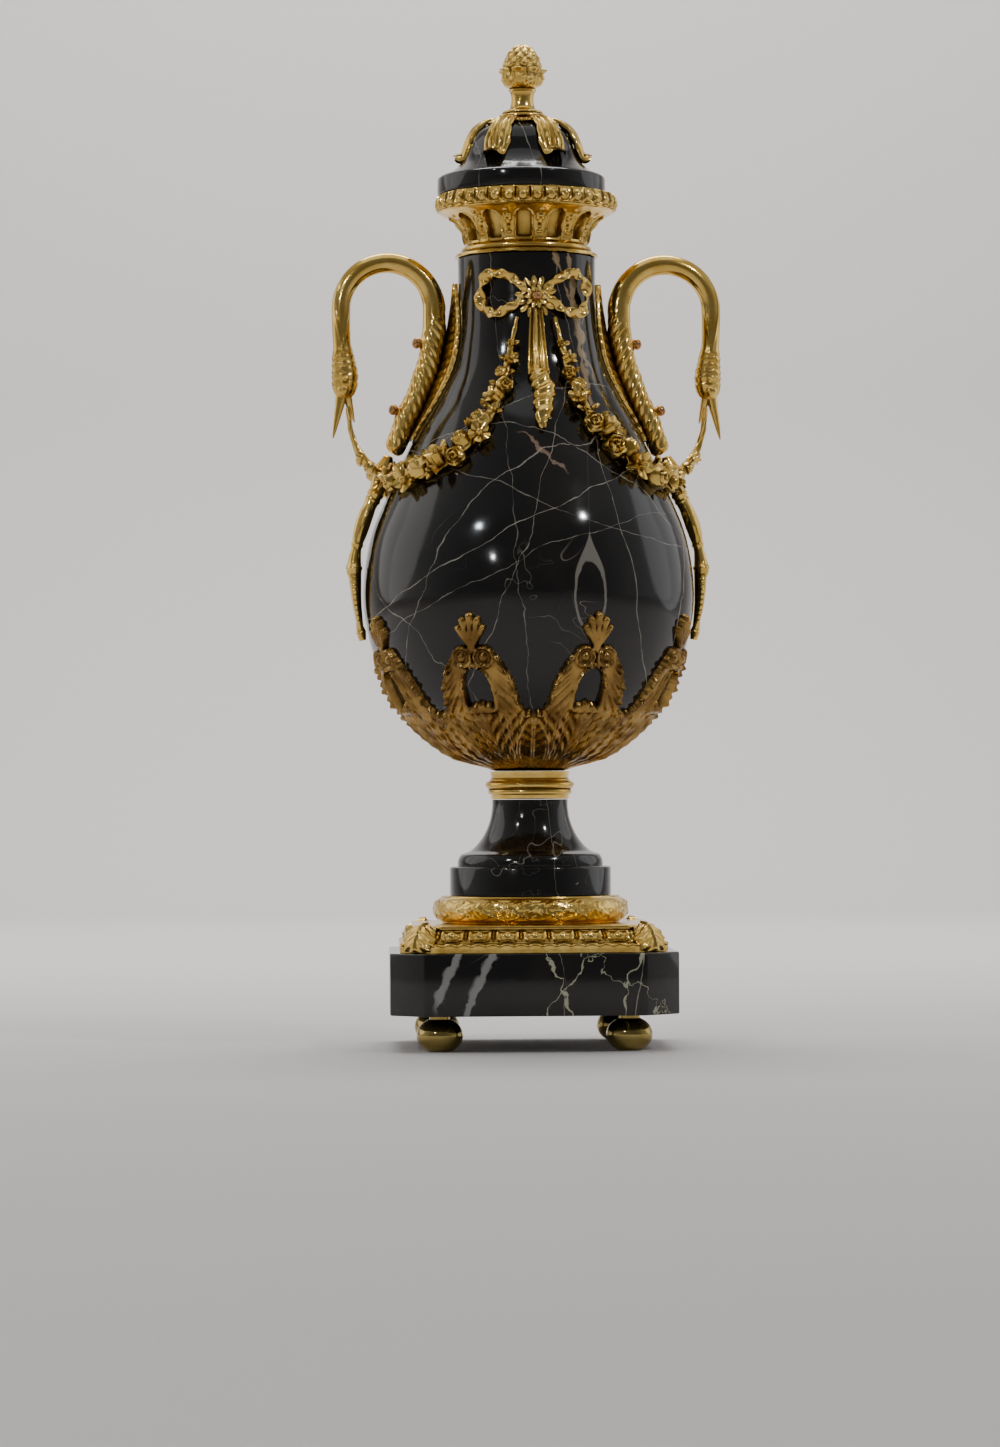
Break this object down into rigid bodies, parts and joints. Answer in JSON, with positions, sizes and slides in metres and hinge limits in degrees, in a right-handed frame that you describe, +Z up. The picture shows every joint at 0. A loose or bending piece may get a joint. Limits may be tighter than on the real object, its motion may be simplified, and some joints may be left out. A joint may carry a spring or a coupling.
{
  "type": "mantel urn",
  "caption": "Covered black marble urn with gilt bronze swan handles, garlands, leaf cup and bun feet, for a mantel or pedestal.",
  "frame": {"origin": "middle of the base, level with the undersides of the four feet", "axes": "+Z up, the front with its bow faces -Y, the handles lie nearly along X"},
  "size_m": [0.2492, 0.21, 0.6371],
  "materials": {
    "black_marble": "polished black marble with cream veins",
    "gilt_bronze": "burnished gilt with darker recesses",
    "toned_gilt_bronze": "toned gilt, browner in the recesses",
    "polished_brass": "polished, slightly olive",
    "copper": "copper-toned screw heads"
  },
  "bodies": {
    "root": {"plinth": "black_marble", "socle": "black_marble", "body": "black_marble", "lid": "black_marble", "base_mount": "gilt_bronze", "laurel_ring": "gilt_bronze", "collar": "gilt_bronze", "gallery": "gilt_bronze", "leaf_cap": "gilt_bronze", "finial": "gilt_bronze", "swan_handle_right": "gilt_bronze", "swan_handle_left": "gilt_bronze", "tail_leaf_right": "gilt_bronze", "tail_leaf_left": "gilt_bronze", "bow_front": "gilt_bronze", "bow_back": "gilt_bronze", "garland_front_left": "gilt_bronze", "garland_front_right": "gilt_bronze", "garland_back_left": "gilt_bronze", "garland_back_right": "gilt_bronze", "calyx": "toned_gilt_bronze", "foot_front_left": "polished_brass", "foot_front_right": "polished_brass", "foot_back_left": "polished_brass", "foot_back_right": "polished_brass", "handle_screw_right_upper": "copper", "handle_screw_right_lower": "copper", "handle_screw_left_upper": "copper", "handle_screw_left_lower": "copper", "bow_screw_front": "copper", "bow_screw_back": "copper"}
  },
  "joints": []
}
